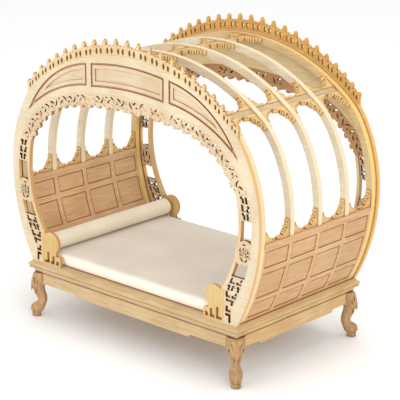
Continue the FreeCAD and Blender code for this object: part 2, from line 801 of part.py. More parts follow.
def board_cap():
    outer = rib_inset - board_cap_proud
    inner = rib_inset + rib_depth + board_cap_proud
    return slab(outer, inner, board_rails[-1][1], board_cap_top, frame_y, -frame_y)


# ---- Mattress and bolster ----
def mattress():
    size = (2 * mattress_half_length, 2 * mattress_half_depth, mattress_thickness)
    pad = Part.makeBox(*size, V(-mattress_half_length, -mattress_half_depth, platform_top + soft_gap))
    upright = [edge for edge in pad.Edges if abs(edge.tangentAt(edge.FirstParameter).z) > 0.9]
    pad = pad.makeFillet(mattress_corner, upright)
    middle = platform_top + soft_gap + mattress_thickness / 2
    level = [edge for edge in pad.Edges if abs(edge.BoundBox.ZLength) < 0.001]
    pad = pad.makeFillet(mattress_top_edge, [edge for edge in level if edge.BoundBox.ZMax > middle])
    level = [edge for edge in pad.Edges if abs(edge.BoundBox.ZLength) < 0.001 and edge.BoundBox.ZMax < middle]
    return pad.makeFillet(mattress_bottom_edge, level).Solids[0]


def bolster():
    z = platform_top + soft_gap + mattress_thickness + bolster_gap + bolster_radius
    roll = Part.makeCylinder(bolster_radius, 2 * bolster_half_length,
                             V(bolster_x, -bolster_half_length, z), V(0, 1, 0))
    rims = [edge for edge in roll.Edges if isinstance(edge.Curve, Part.Circle)]
    return roll.makeFillet(bolster_edge, rims).Solids[0]


# ---- Put the bed together ----
def base_pieces():
    front_leg = leg()
    back_leg = mirror_y(front_leg)
    front_apron = apron(leg_x - leg_block, front_drop_half, leg_y)
    end_apron = turned(apron(leg_y - leg_block, end_drop_half, leg_x), 90)
    front_moulding = turned(moulding(-front_y, board_x), -90)
    end_moulding = moulding(board_x, -front_y)
    return {
        "platform_board": platform_board(),
        "leg_front_head": front_leg,
        "leg_front_foot": mirror_x(front_leg),
        "leg_back_head": back_leg,
        "leg_back_foot": mirror_x(back_leg),
        "apron_front": front_apron,
        "apron_back": mirror_y(front_apron),
        "apron_foot": end_apron,
        "apron_head": mirror_x(end_apron),
        "moulding_front": front_moulding,
        "moulding_back": mirror_y(front_moulding),
        "moulding_foot": end_moulding,
        "moulding_head": mirror_x(end_moulding),
    }


def frame_pieces():
    """The pieces of the front frame. Those with a foot and a head side are drawn on the foot side."""
    spacer_y = front_y + fascia_thickness
    pieces = {
        "fascia": fascia(),
        "panel_centre": raised_panel(centre_outline()),
        "crest": crest(),
        "frieze": frieze(),
        "spacer": arch(rib_inset, spacer_depth, platform_top, spacer_y, spacer_thickness),
        "end_rib": arch(rib_inset, rib_depth, platform_top, spacer_y + spacer_thickness, rib_width),
    }
    for name, right in (("panel", raised_panel(side_outline())), ("lower_fret", lower_fret()),
                        ("corner_scroll", corner_scroll())):
        pieces[name + "_foot"] = right
        pieces[name + "_head"] = mirror_x(right)
    for name, right in (("upper_frets", upper_fret()), ("rosettes", rosette()), ("edge_strips", edge_strip())):
        pieces[name] = group([right, mirror_x(right)])
    return pieces


def canopy_pieces():
    pieces = {
        "purlins_crown": purlin(0),
        "purlins_foot": purlin(side_purlin_angle),
        "purlins_head": purlin(-side_purlin_angle),
        "roof_brackets": roof_brackets(),
    }
    names = ("rib_front", "rib_middle", "rib_back")
    for i, name in enumerate(names):
        y = frame_y + bay + i * (bay + rib_width)
        pieces[name] = arch(rib_inset, rib_depth, board_cap_top, y, rib_width)
    foot = {"frame": board_frame(), "panels": board_panels(), "cap": board_cap(), "brackets": board_brackets()}
    for name, shape in foot.items():
        pieces["footboard_" + name] = shape
        pieces["headboard_" + name] = mirror_x(shape)
    return pieces


bed = base_pieces()
for name, shape in frame_pieces().items():
    bed["front_" + name] = shape
    bed["back_" + name] = mirror_y(shape)
bed.update(canopy_pieces())
bed["mattress"] = mattress()
bed["bolster"] = bolster()

os.makedirs("parts", exist_ok=True)
for name, shape in bed.items():
    shape.exportStep("parts/" + name + ".step")
print(len(bed), "nodes")
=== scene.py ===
import math

import bmesh
import bpy
from mathutils import Matrix, Vector


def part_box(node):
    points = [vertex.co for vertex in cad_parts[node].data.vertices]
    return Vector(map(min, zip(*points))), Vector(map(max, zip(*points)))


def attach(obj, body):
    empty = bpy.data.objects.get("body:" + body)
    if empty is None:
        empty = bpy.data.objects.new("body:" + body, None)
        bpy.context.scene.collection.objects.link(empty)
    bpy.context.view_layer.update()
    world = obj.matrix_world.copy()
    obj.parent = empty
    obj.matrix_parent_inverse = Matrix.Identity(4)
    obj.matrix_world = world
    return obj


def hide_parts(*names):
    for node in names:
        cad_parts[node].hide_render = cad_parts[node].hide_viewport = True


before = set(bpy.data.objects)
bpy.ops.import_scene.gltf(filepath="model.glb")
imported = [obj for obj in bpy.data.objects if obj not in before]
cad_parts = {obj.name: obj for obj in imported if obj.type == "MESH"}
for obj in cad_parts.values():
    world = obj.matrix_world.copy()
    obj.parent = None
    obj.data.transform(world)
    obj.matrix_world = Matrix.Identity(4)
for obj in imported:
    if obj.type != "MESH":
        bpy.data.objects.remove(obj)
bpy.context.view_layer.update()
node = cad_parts

# ---------------------------------------------------------------------------
# The studio: a white table top under a white sky, with a large soft lamp on the foot
# side, a low one in front and a weak one above. None of it is part of the bed.
# ---------------------------------------------------------------------------
mm = 0.001
camera_aim = Vector((0.0, 0.0, 0.09))
camera_turn, camera_lift, camera_distance = math.radians(42.781), math.radians(16.85), 1.02609
table_half_size = 3.0
table_gap = 0.2 * mm

scene = bpy.context.scene
scene.view_settings.view_transform = "Standard"

back = Vector((math.sin(camera_turn) * math.cos(camera_lift),
               -math.cos(camera_turn) * math.cos(camera_lift), math.sin(camera_lift)))
camera = bpy.data.objects.new("camera", bpy.data.cameras.new("camera"))
camera.data.lens = 146.79
camera.data.sensor_width = 36
camera.data.shift_x = 0.0210
camera.data.shift_y = -0.0218
camera.location = camera_aim + back * camera_distance
camera.rotation_euler = (-back).to_track_quat("-Z", "Y").to_euler()
scene.collection.objects.link(camera)
scene.camera = camera

sky = bpy.data.worlds.new("studio_sky")
sky.use_nodes = True
sky.node_tree.nodes["Background"].inputs["Color"].default_value = (1.0, 1.0, 1.0, 1)
sky.node_tree.nodes["Background"].inputs["Strength"].default_value = 0.93
scene.world = sky


def soft_lamp(name, place, watts, size):
    lamp = bpy.data.lights.new(name, "AREA")
    lamp.energy = watts
    lamp.size = size
    lamp.shape = "DISK"
    stand = bpy.data.objects.new(name, lamp)
    stand.location = place
    stand.rotation_euler = (camera_aim - Vector(place)).to_track_quat("-Z", "Y").to_euler()
    scene.collection.objects.link(stand)


soft_lamp("lamp_foot_side", (1.15, -0.75, 0.70), watts=6.0, size=0.7)
soft_lamp("lamp_front", (-0.10, -1.30, 0.30), watts=5.0, size=0.7)
soft_lamp("lamp_top", (0.15, 0.1, 1.3), watts=3.5, size=0.9)


def two_tone(nodes, start, first, stop, last):
    """A ramp node from one colour to another, between two positions."""
    ramp = nodes.new("ShaderNodeValToRGB")
    for place, position, colour in zip(ramp.color_ramp.elements, (start, stop), (first, last)):
        place.position = position
        place.color = colour
    return ramp


table = bmesh.new()
bmesh.ops.create_grid(table, x_segments=8, y_segments=8, size=table_half_size)
table_mesh = bpy.data.meshes.new("table_top")
table.to_mesh(table_mesh)
table.free()
table_top = bpy.data.objects.new("table_top", table_mesh)
scene.collection.objects.link(table_top)
table_top.location.z = -table_gap
white = bpy.data.materials.new("white_table")
white.use_nodes = True
white_nodes, white_link = white.node_tree.nodes, white.node_tree.links.new
white_shader = white_nodes["Principled BSDF"]
white_dust = white_nodes.new("ShaderNodeTexNoise")
white_dust.inputs["Scale"].default_value = 40
white_ramp = two_tone(white_nodes, 0.0, (0.93, 0.93, 0.93, 1), 1.0, (0.96, 0.96, 0.96, 1))
white_link(white_dust.outputs["Fac"], white_ramp.inputs["Fac"])
white_link(white_ramp.outputs["Color"], white_shader.inputs["Base Color"])
white_shader.inputs["Roughness"].default_value = 0.9
table_mesh.materials.append(white)


# ---------------------------------------------------------------------------
# Platform board, edge mouldings and aprons: planed and sanded bare wood, glued.
# The grain runs along each board. Painted shade darkens the narrow gaps and grooves between pieces.
# ---------------------------------------------------------------------------
full, none = (1, 1, 1, 1), (0, 0, 0, 1)
# the colour sockets of a Mix node, which also has number and vector ones
mix_amount, mix_under, mix_over, mix_result = 0, 6, 7, 2
streaks_along, streaks_across = 60, 900


def tone(red, green, blue):
    """A paint-chart colour, 0 to 255, as the shader wants it."""
    return tuple(((c / 255 + 0.055) / 1.055) ** 2.4 if c > 10 else c / 3294.6
                 for c in (red, green, blue)) + (1.0,)


def laid_over(nodes, link, amount, under, over):
    """Lays a fixed colour over another by an amount; gives the socket of the result."""
    mix = nodes.new("ShaderNodeMix")
    mix.data_type = "RGBA"
    mix.inputs[mix_over].default_value = over
    link(amount, mix.inputs[mix_amount])
    link(under, mix.inputs[mix_under])
    return mix.outputs[mix_result]


def bumped(nodes, link, shader, height, strength, distance):
    bump = nodes.new("ShaderNodeBump")
    bump.inputs["Strength"].default_value = strength
    bump.inputs["Distance"].default_value = distance
    link(height, bump.inputs["Height"])
    link(bump.outputs["Normal"], shader.inputs["Normal"])


def bare_wood(name, pale, warm, shade_and_scorch, along, cut=None, shade_reach=1.4 * mm, shade_strength=0.85):
    """Bare wood: fine streaks along the grain, broad patches, cut edges, and painted shade in grooves.

    The depth argument is how far the painted shade reaches into grooves and hollows, and the tint
    argument how strong it is; on scorched cut faces it stands for the scorch too."""
    finish = bpy.data.materials.new(name)
    finish.use_nodes = True
    nodes, link = finish.node_tree.nodes, finish.node_tree.links.new
    shader = nodes["Principled BSDF"]
    shader.inputs["Roughness"].default_value = 0.6
    place = nodes.new("ShaderNodeTexCoord")

    stretch = nodes.new("ShaderNodeMapping")
    stretch.inputs["Scale"].default_value = tuple(streaks_along if a == along else streaks_across
                                                  for a in "XYZ")
    link(place.outputs["Object"], stretch.inputs["Vector"])
    streaks = nodes.new("ShaderNodeTexNoise")
    streaks.inputs["Scale"].default_value = 1.0
    streaks.inputs["Detail"].default_value = 5.0
    streaks.inputs["Roughness"].default_value = 0.6
    link(stretch.outputs["Vector"], streaks.inputs["Vector"])
    streak_ramp = two_tone(nodes, 0.34, warm, 0.62, pale)
    link(streaks.outputs["Fac"], streak_ramp.inputs["Fac"])

    patches = nodes.new("ShaderNodeTexNoise")
    patches.inputs["Scale"].default_value = 45
    patches.inputs["Detail"].default_value = 2.0
    link(place.outputs["Object"], patches.inputs["Vector"])
    patch_ramp = two_tone(nodes, 0.35, (0.90, 0.86, 0.80, 1), 0.65, full)
    link(patches.outputs["Fac"], patch_ramp.inputs["Fac"])
    toned = nodes.new("ShaderNodeMix")
    toned.data_type = "RGBA"
    toned.blend_type = "MULTIPLY"
    toned.inputs[mix_amount].default_value = 1.0
    link(streak_ramp.outputs["Color"], toned.inputs[mix_under])
    link(patch_ramp.outputs["Color"], toned.inputs[mix_over])
    colour = toned.outputs[mix_result]

    if cut is not None:
        facing = nodes.new("ShaderNodeSeparateXYZ")
        link(place.outputs["Normal"], facing.inputs["Vector"])
        flat = nodes.new("ShaderNodeMath")
        flat.operation = "ABSOLUTE"
        link(facing.outputs["Y"], flat.inputs[0])
        cut_ramp = two_tone(nodes, 0.3, full, 0.8, none)
        link(flat.outputs[0], cut_ramp.inputs["Fac"])
        colour = laid_over(nodes, link, cut_ramp.outputs["Color"], colour, cut)

    # Painted shade: ambient occlusion darkens the colour in grooves, gaps and hollows.
    shade_mask = nodes.new("ShaderNodeAmbientOcclusion")
    shade_mask.samples = 6
    shade_mask.inputs["Distance"].default_value = shade_reach
    shade_ramp = two_tone(nodes, 0.25, (shade_strength, shade_strength, shade_strength, 1), 0.85, none)
    link(shade_mask.outputs["AO"], shade_ramp.inputs["Fac"])
    colour = laid_over(nodes, link, shade_ramp.outputs["Color"], colour, shade_and_scorch)
    link(colour, shader.inputs["Base Color"])
    bumped(nodes, link, shader, streaks.outputs["Fac"], strength=0.35, distance=0.2 * mm)
    return finish


def finish_nodes(finish, *names):
    for name in names:
        node[name].data.materials.clear()
        node[name].data.materials.append(finish)


# Painted shade for the gaps and the groove under each moulding.
base_shade = tone(136, 88, 44)
base_long = bare_wood("base_wood_long", tone(198, 174, 134), tone(183, 152, 107),
                      base_shade, "X")
base_across = bare_wood("base_wood_across", tone(211, 180, 130), tone(196, 158, 105),
                        base_shade, "Y")
finish_nodes(base_long, "platform_board", "moulding_front", "moulding_back",
             "apron_front", "apron_back")
finish_nodes(base_across, "moulding_head", "moulding_foot", "apron_head", "apron_foot")

# ---------------------------------------------------------------------------
# Cabriole legs: turned and carved from a darker, close-grained wood, glued under the
# corners. Each knee carries a carved leaf with a scroll each side, each toe three claws.
# ---------------------------------------------------------------------------
up_z = Vector((0, 0, 1))
# One row for each carved leaf of a leg, in millimetres from the corner of the base:
# its middle (inwards, sideways, up), the way it grows and the way its back faces
# (outwards, sideways, up), its size (length, width, height), its bend and its point.
middle_leaves = (
    ((2.4, 0.0, 22.5), (0.16, 0.0, -1.0), (1.0, 0.0, 0.0), (11.5, 3.4, 2.1), 0.3, 0.6),
    ((2.8, 0.0, 5.8), (0.75, 0.0, -0.7), (1.0, 0.0, 1.0), (6.2, 2.3, 2.0), 0.5, 0.6),
)
# These are cut on both sides of the leg: knee leaf, shoulder leaf, scroll and its eye,
# lower leaf, claw and heel tuft.
paired_leaves = (
    ((3.3, 2.4, 23.0), (0.0, -0.25, -1.0), (1.0, 0.9, 0.0), (9.5, 2.1, 1.6), 0.2, 0.6),
    ((4.8, 4.0, 25.6), (0.0, 0.7, -0.7), (1.0, 1.0, 0.0), (5.5, 2.4, 1.6), 0.0, 0.6),
    ((5.6, 4.3, 22.6), (0.0, 0.0, -1.0), (0.0, 1.0, 0.0), (2.2, 2.2, 1.2), 0.0, 0.0),
    ((5.15, 4.48, 22.6), (0.0, 0.0, -1.0), (0.0, 1.0, 0.0), (1.3, 1.3, 1.2), 0.0, 0.0),
    ((3.9, 2.3, 17.6), (0.0, -0.3, -1.0), (1.0, 0.9, 0.0), (5.0, 1.7, 1.3), 0.0, 0.6),
    ((3.4, 2.1, 5.8), (0.75, 0.0, -0.7), (1.0, 0.0, 1.0), (6.2, 2.3, 2.0), 0.5, 0.6),
    ((9.4, 1.8, 8.2), (0.0, 0.0, 1.0), (-0.6, 1.0, 0.0), (5.0, 2.0, 1.6), 0.0, 0.6),
)

# The third tone is painted shade in the crevices of the carving, reaching 3 mm.
leg_wood = bare_wood("leg_wood", tone(186, 152, 106), tone(156, 116, 70), tone(80, 46, 20), "Z",
                     shade_reach=3.0 * mm)
finish_nodes(leg_wood, "leg_front_head", "leg_front_foot", "leg_back_head", "leg_back_foot")


def carved_leaf(mesh, place, length, width, height, bend=0.0, point=0.6):
    """A leaf lying along local Z, its back raised along local Y, with a sunk midrib.

    point is how much its tip narrows: 0 makes a round knob."""
    leaf = bmesh.new()
    bmesh.ops.create_uvsphere(leaf, u_segments=10, v_segments=7, radius=0.5)
    for v in leaf.verts:
        t = 2 * v.co.z
        slim = 1 - point * max(0.0, t) ** 2
        ridge = 0.72 if abs(v.co.x) < 0.05 and v.co.y > 0 else 1.0
        v.co.x *= width * slim
        v.co.y *= height * ridge * slim
        v.co.y += bend * (1 - t * t)
        v.co.z *= length
    bmesh.ops.transform(leaf, matrix=place, verts=leaf.verts)
    cut = bpy.data.meshes.new("leaf")
    leaf.to_mesh(cut)
    leaf.free()
    mesh.from_mesh(cut)
    bpy.data.meshes.remove(cut)


def facing_place(spot, along, out):
    """A placing matrix: local Z along, local Y outwards."""
    along = Vector(along).normalized()
    out = Vector(out)
    out = (out - along * out.dot(along)).normalized()
    across = out.cross(along)
    turned = Matrix((across, out, along)).transposed().to_4x4()
    return Matrix.Translation(Vector(spot)) @ turned


def finished_piece(name, mesh, finish, body):
    """Makes the mesh a smooth object with its place in its mesh, riding on a body."""
    bmesh.ops.recalc_face_normals(mesh, faces=mesh.faces)
    data = bpy.data.meshes.new(name)
    mesh.to_mesh(data)
    mesh.free()
    data.materials.append(finish)
    for face in data.polygons:
        face.use_smooth = True
    made = bpy.data.objects.new(name, data)
    scene.collection.objects.link(made)
    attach(made, body)
    return made


def rounded(made, name):
    """One step of subdivision."""
    rounding = made.modifiers.new(name, "SUBSURF")
    rounding.levels = 1
    rounding.render_levels = 1


base_low, base_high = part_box("moulding_front")
for side_x, end in ((-1, "head"), (1, "foot")):
    for side_y, face in ((-1, "front"), (1, "back")):
        carving = bmesh.new()
        corner = Vector((side_x * base_high.x, -side_y * base_low.y, 0))
        out = Vector((side_x, side_y, 0)).normalized()
        across = Vector((-side_y, side_x, 0)).normalized()
        leaves = [(0, leaf) for leaf in middle_leaves]
        leaves += [(side, leaf) for side in (-1, 1) for leaf in paired_leaves]
        for side, (spot, grows, faces, size, bend, point) in leaves:
            middle = corner + (up_z * spot[2] + across * side * spot[1] - out * spot[0]) * mm
            growing = out * grows[0] + across * side * grows[1] + up_z * grows[2]
            facing = out * faces[0] + across * side * faces[1] + up_z * faces[2]
            carved_leaf(carving, facing_place(middle, growing, facing),
                        *(length * mm for length in size), bend * mm, point)
        rounded(finished_piece(f"leg_carving_{face}_{end}", carving, leg_wood, "bedstead"), "rounding")

# ---------------------------------------------------------------------------
# The two horseshoe frames: sawn from thin board, with raised panels glued in pockets.
# Behind each lie a narrow spacer and an end rib, whose edges show as stripes.
# ---------------------------------------------------------------------------
# Painted shade in the pocket grooves and gaps, standing also for the scorch of their cut faces.
frame_shade_and_scorch = tone(166, 88, 32)
frame_wood = bare_wood("frame_wood", tone(213, 199, 173), tone(204, 186, 153), frame_shade_and_scorch, "X",
                       cut=tone(214, 168, 104), shade_reach=1.8 * mm)
back_frame_wood = bare_wood("back_frame_wood", tone(226, 210, 168), tone(214, 188, 138),
                            frame_shade_and_scorch, "X", cut=tone(228, 172, 78), shade_reach=1.8 * mm)
panel_wood = bare_wood("panel_wood", tone(208, 191, 161), tone(200, 179, 142), frame_shade_and_scorch, "X",
                       cut=tone(176, 104, 44), shade_reach=1.8 * mm)
# The end ribs' and spacers' third tone reaches several millimetres: painted shade, with some scorch,
# on the inner faces seen through the slots.
end_rib_wood = bare_wood("end_rib_wood", tone(224, 208, 180), tone(210, 188, 152),
                         tone(138, 62, 24), "X", cut=tone(226, 202, 156), shade_reach=7.0 * mm)
back_end_rib_wood = bare_wood("back_end_rib_wood", tone(214, 190, 146), tone(200, 170, 118),
                              tone(138, 68, 28), "X", cut=tone(230, 194, 116),
                              shade_reach=4.0 * mm)
spacer_wood = bare_wood("spacer_wood", tone(206, 158, 94), tone(180, 128, 68), tone(120, 66, 28),
                        "X", shade_reach=4.0 * mm)
for side, board, inner_wood in (("front_", frame_wood, end_rib_wood),
                                ("back_", back_frame_wood, back_end_rib_wood)):
    finish_nodes(board, side + "fascia")
    finish_nodes(panel_wood, side + "panel_centre", side + "panel_head", side + "panel_foot")
    finish_nodes(inner_wood, side + "end_rib")
    finish_nodes(spacer_wood, side + "spacer")

# ---------------------------------------------------------------------------
# Crests: a pierced strip glued on each arch, its finials carved round into buds.
# The wood is the same board, toned golden where the saw and the knife went through it.
# ---------------------------------------------------------------------------
finials_each_side = 11
finial_ring_radius = 105.0 * mm
finial_step = 0.089
finial_foot_radius, finial_tip_radius, finial_height = 126.8 * mm, 122.5 * mm, 4.5 * mm
bud_width, bud_thickness, bud_ear_thickness = 2.7 * mm, 2.5 * mm, 2.2 * mm

# Painted shade in the holes and crevices of the pierced work, standing also for scorch.
dark_shade_and_scorch = tone(60, 30, 12)
front_crest_wood = bare_wood("front_crest_wood", tone(214, 194, 154), tone(202, 172, 120),
                             dark_shade_and_scorch, "X", cut=tone(192, 142, 74), shade_reach=2.6 * mm,
                             shade_strength=0.95)
front_bud_wood = bare_wood("front_bud_wood", tone(212, 188, 142), tone(192, 156, 100),
                           dark_shade_and_scorch, "Z")
back_crest_wood = bare_wood("back_crest_wood", tone(212, 172, 98), tone(194, 144, 66),
                            dark_shade_and_scorch, "X", cut=tone(206, 146, 52), shade_reach=2.6 * mm,
                            shade_strength=0.95)
back_bud_wood = bare_wood("back_bud_wood", tone(216, 176, 100), tone(196, 142, 64),
                          dark_shade_and_scorch, "Z")
for side_y, side, crest_wood, bud_wood in ((-1, "front", front_crest_wood, front_bud_wood),
                                           (1, "back", back_crest_wood, back_bud_wood)):
    finish_nodes(crest_wood, side + "_crest")
    low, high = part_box(side + "_crest")
    middle_y = (low.y + high.y) / 2
    buds = bmesh.new()
    for i in range(-finials_each_side, finials_each_side + 1):
        x = finial_ring_radius * math.sin(finial_step * i)
        foot_z = (high.z - finial_height - finial_foot_radius
                  + math.sqrt(finial_foot_radius ** 2 - x * x))
        tip_z = high.z - finial_tip_radius + math.sqrt(finial_tip_radius ** 2 - x * x)
        rise = tip_z - foot_z
        wide = bud_width * math.sqrt(rise / finial_height)
        # the bud itself, then an ear on each side of its foot
        place = facing_place((x, middle_y, foot_z + 0.52 * rise), up_z, (0, side_y, 0))
        carved_leaf(buds, place, 0.92 * rise, wide, bud_thickness, point=0.5)
        for s in (-1, 1):
            place = facing_place((x + s * 0.42 * wide, middle_y, foot_z + 0.12 * rise),
                                 (s * 0.6, 0, 1), (0, side_y, 0))
            carved_leaf(buds, place, 0.45 * rise, 0.45 * wide, bud_ear_thickness)
    finished_piece(side + "_crest_buds", buds, bud_wood, "bedstead")

# ---------------------------------------------------------------------------
# Frets, rosettes, corner scrolls, edge strips and the friezes: pierced with a fine saw
# from thin board. Their cut edges have scorched brown, and painted shade darkens their holes.
# ---------------------------------------------------------------------------
fret_wood = bare_wood("fret_wood", tone(212, 194, 162), tone(199, 172, 130), dark_shade_and_scorch, "X",
                      cut=tone(96, 54, 26), shade_reach=2.2 * mm)
frieze_wood = bare_wood("frieze_wood", tone(212, 194, 164), tone(199, 173, 134),
                        tone(104, 58, 26), "X", cut=tone(160, 108, 62), shade_reach=2.2 * mm)
back_frieze_wood = bare_wood("back_frieze_wood", tone(190, 150, 102), tone(166, 120, 74),
                             tone(80, 40, 16), "X", cut=tone(128, 76, 36), shade_reach=3.0 * mm)
strip_wood = bare_wood("strip_wood", tone(212, 196, 164), tone(198, 172, 130), tone(140, 86, 40),
                       "Z", cut=tone(196, 150, 92))
scroll_wood = bare_wood("scroll_wood", tone(204, 176, 120), tone(193, 158, 98), dark_shade_and_scorch, "Z",
                        cut=tone(190, 136, 70), shade_reach=1.8 * mm)
for side, lace in (("front_", frieze_wood), ("back_", back_frieze_wood)):
    finish_nodes(lace, side + "frieze")
    finish_nodes(fret_wood, side + "upper_frets", side + "rosettes", side + "lower_fret_head",
                 side + "lower_fret_foot")
    finish_nodes(scroll_wood, side + "corner_scroll_head", side + "corner_scroll_foot")
    finish_nodes(strip_wood, side + "edge_strips")

# Carved relief on the lace: curled leaves along each frieze, and a lotus on each rosette.
# A ray from inside the opening finds the lower edge of the frieze for each pair of leaves.
frieze_rays_each_side = 30
frieze_ray_step = 0.0467
frieze_half_width, frieze_ray_start_share = 88.0 * mm, 0.55
frieze_ray_start_z, frieze_ray_rise, frieze_ray_lift = 96 * mm, 62 * mm, 1 * mm
frieze_leaf_height = 1.1 * mm
# rise, shift, length and width in millimetres, and how far the leaf leans
frieze_leaves = ((0.9, 0.0, 2.7, 1.4, 0.9), (4.4, -0.5, 2.6, 1.0, 1.3))
lotus_x, lotus_drop = 93.6 * mm, 1.4 * mm
petal_leans = (-1.9, -1.15, -0.55, 0.0, 0.55, 1.15, 1.9)
petal_ring = 2.9 * mm

for side_y, side, lace in ((-1, "front", frieze_wood), (1, "back", back_frieze_wood)):
    low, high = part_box(side + "_frieze")
    face_y = low.y if side_y < 0 else high.y
    relief = bmesh.new()
    edge_spots = []
    for i in range(-frieze_rays_each_side, frieze_rays_each_side + 1):
        angle = i * frieze_ray_step
        reach_x = frieze_half_width * math.sin(angle)
        ray_x = reach_x * frieze_ray_start_share
        ray_from = Vector((ray_x, face_y - side_y * 1.0 * mm, frieze_ray_start_z))
        heading = Vector((reach_x - ray_x, 0, frieze_ray_rise * math.cos(angle)
                          + frieze_ray_lift)).normalized()
        hit, spot = node[side + "_frieze"].ray_cast(ray_from, heading)[:2]
        if hit:
            edge_spots.append((spot, heading))
    for i, (spot, heading) in enumerate(edge_spots):
        sideways = Vector((heading.z, 0, -heading.x))
        lean = 1 if i % 2 else -1
        for rise, shift, length, width, tilt in frieze_leaves:
            place = spot + heading * rise * mm + sideways * shift * lean * mm
            place.y = face_y
            grow = heading + sideways * tilt * lean
            carved_leaf(relief, facing_place(place, grow, (0, side_y, 0)), length * mm,
                        width * mm, frieze_leaf_height)
    finished_piece(side + "_frieze_carving", relief, lace, "bedstead")

    low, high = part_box(side + "_rosettes")
    face_y = low.y if side_y < 0 else high.y
    middle_z = (low.z + high.z) / 2
    lotus = bmesh.new()
    for side_x in (-1, 1):
        heart = Vector((side_x * lotus_x, face_y, middle_z - lotus_drop))
        for lean in petal_leans:
            grow = Vector((math.sin(lean), 0, math.cos(lean)))
            place = facing_place(heart + grow * petal_ring, grow, (0, side_y, 0))
            carved_leaf(lotus, place, 3.6 * mm, 1.3 * mm, 1.6 * mm, point=0.5)
        carved_leaf(lotus, facing_place(heart, up_z, (0, side_y, 0)),
                    2.4 * mm, 2.2 * mm, 2.0 * mm, point=0.0)
    finished_piece(side + "_rosette_carving", lotus, fret_wood, "bedstead")

# ---------------------------------------------------------------------------
# Head and foot boards: frames of rails and stiles, bent to the arch, with flat panels
# let in. The panels are a slightly browner wood, and painted shade darkens the gap each sits in.
# ---------------------------------------------------------------------------
# Painted shade for the gaps round the panels.
board_gap_shade = tone(186, 98, 36)
board_wood = bare_wood("board_wood", tone(214, 178, 134), tone(198, 156, 108), board_gap_shade, "Y",
                       shade_reach=1.8 * mm)
board_panel_wood = bare_wood("board_panel_wood", tone(210, 172, 128), tone(194, 150, 102),
                             board_gap_shade, "Y", shade_reach=1.8 * mm)
for end in ("headboard", "footboard"):
    finish_nodes(board_wood, end + "_frame", end + "_cap")
    finish_nodes(board_panel_wood, end + "_panels")

# ---------------------------------------------------------------------------
# Ribs and purlins: bent bars of pale wood that make the barrel. Carved foliage
# brackets are glued in every corner between them.
# ---------------------------------------------------------------------------
crown_radius = 130.5 * mm
crown_clearance = 1.0 * mm
purlin_angles = (-34.8, 0.0, 34.8)
purlin_half_width = 2.1 * mm
bracket_sink = 3.5 * mm
bracket_depth, knob_depth = 3.9 * mm, 4.2 * mm
roof_reach, end_reach, bay_reach = 12.0 * mm, 10.5 * mm, 9.6 * mm
# shares of the two reaches, then length and width in millimetres
bracket_fan = ((0.62, 0.12, 5.2, 1.9), (0.42, 0.30, 3.6, 1.7),
               (0.24, 0.46, 3.4, 1.6), (0.12, 0.70, 4.0, 1.8))
# shares of the two reaches, then size in millimetres
bracket_curls = ((0.92, 0.10, 1.9), (0.60, 0.28, 1.5), (0.36, 0.44, 1.5), (0.10, 0.93, 1.9))

# Each third tone below is painted shade in the hollows.
rib_wood = bare_wood("rib_wood", tone(226, 214, 192), tone(214, 198, 168), tone(160, 108, 56),
                     "X", cut=tone(226, 208, 172))
finish_nodes(rib_wood, "rib_front", "rib_middle", "rib_back")
# The purlins' darker tone is partly the wood's own and partly painted shade for their recess between
# the ribs.
purlin_wood = bare_wood("purlin_wood", tone(206, 180, 142), tone(188, 158, 116),
                        tone(130, 84, 40), "Y")
finish_nodes(purlin_wood, "purlins_crown", "purlins_head", "purlins_foot")
bracket_wood = bare_wood("bracket_wood", tone(228, 196, 136), tone(210, 166, 96),
                         tone(116, 66, 24), "Y", shade_reach=2.2 * mm, shade_strength=0.95)
finish_nodes(bracket_wood, "roof_brackets", "headboard_brackets", "footboard_brackets")


def bracket_leaves(mesh, corner, along_rib, along_bay, outward, reach_rib):
    """Leaves that fan from a bracket's square corner, with a curl at the end of each."""
    for share_rib, share_bay, length, width in bracket_fan:
        run = along_rib * reach_rib * share_rib + along_bay * bay_reach * share_bay
        place = facing_place(corner + run, run, outward)
        carved_leaf(mesh, place, length * mm, width * mm, bracket_depth, point=0.5)
    for share_rib, share_bay, size in bracket_curls:
        run = along_rib * reach_rib * share_rib + along_bay * bay_reach * share_bay
        place = facing_place(corner + run, along_bay, outward)
        carved_leaf(mesh, place, size * mm, size * mm, bracket_depth, point=0.0)
    knob = corner + (along_rib + along_bay) * 2.2 * mm
    carved_leaf(mesh, facing_place(knob, along_rib, outward),
                2.6 * mm, 2.2 * mm, knob_depth, point=0.0)


crown_axis_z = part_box("rib_front")[1].z + crown_clearance - crown_radius
rib_y = [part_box("front_end_rib")[1].y]
for name in ("rib_front", "rib_middle", "rib_back"):
    rib_y += [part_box(name)[0].y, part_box(name)[1].y]
rib_y.append(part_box("back_end_rib")[0].y)
# each bay runs from one rib to the next, and has brackets at both of its ends
bay_ends = [(side_y, y) for bay in zip(rib_y[0::2], rib_y[1::2])
            for side_y, y in zip((1, -1), bay)]

foliage = bmesh.new()
for degrees in purlin_angles:
    tilt = math.radians(degrees)
    outward = Vector((math.sin(tilt), 0, math.cos(tilt)))
    tangent = Vector((math.cos(tilt), 0, -math.sin(tilt)))
    for side_y, y in bay_ends:
        for side_x in (-1, 1):
            spot = outward * (crown_radius - bracket_sink) + tangent * side_x * purlin_half_width
            spot += Vector((0, y, crown_axis_z))
            bracket_leaves(foliage, spot, tangent * side_x, Vector((0, side_y, 0)), outward,
                           roof_reach)
finished_piece("roof_foliage", foliage, bracket_wood, "bedstead")
for side_x, end in ((-1, "headboard"), (1, "footboard")):
    low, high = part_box(end + "_brackets")
    foliage = bmesh.new()
    for side_y, y in bay_ends:
        spot = Vector(((low.x + high.x) / 2, y, low.z))
        bracket_leaves(foliage, spot, up_z, Vector((0, side_y, 0)), Vector((side_x, 0, 0)),
                       end_reach)
    finished_piece(end + "_foliage", foliage, bracket_wood, "bedstead")


# ---------------------------------------------------------------------------
# Mattress: a thin stuffed pad in cream cotton, loose on the platform.
# ---------------------------------------------------------------------------
threads_per_metre = 900
cloth_scale = 10.0
puff_steps = 20


